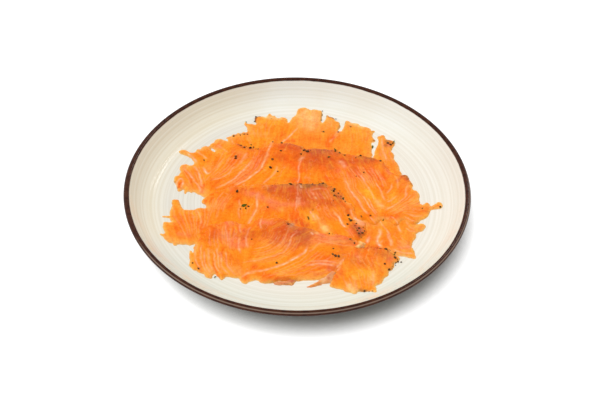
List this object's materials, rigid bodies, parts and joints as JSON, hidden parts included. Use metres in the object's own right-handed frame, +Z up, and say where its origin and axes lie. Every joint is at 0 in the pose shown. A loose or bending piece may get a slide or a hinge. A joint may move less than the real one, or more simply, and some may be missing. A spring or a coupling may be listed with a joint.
{
  "type": "gravlax slices",
  "caption": "Thin slices of cured salmon with torn edges laid over each other on a round coupe plate, with scraps of fat and skin.",
  "frame": {"origin": "centre of the plate's foot ring, on the surface it stands on", "axes": "+Z up along the plate's axis of turning; +X to the right and +Y to the back as the diner sees the slices, with the front slices towards -Y"},
  "size_m": [0.27, 0.27, 0.0263],
  "materials": {
    "plate": "gloss",
    "salmon": "satin",
    "fat": "satin",
    "skin": "satin",
    "pepper": "matte",
    "dill": "matte"
  },
  "bodies": {
    "root": {"plate": "plate", "slice_back": "salmon", "slice_back_right": "salmon", "slice_right": "salmon", "slice_second": "salmon", "slice_third": "salmon", "slice_front": "salmon", "slice_front_right": "salmon", "fat_scrap": "fat", "fat_sliver": "fat", "skin_scrap": "skin"}
  },
  "joints": []
}
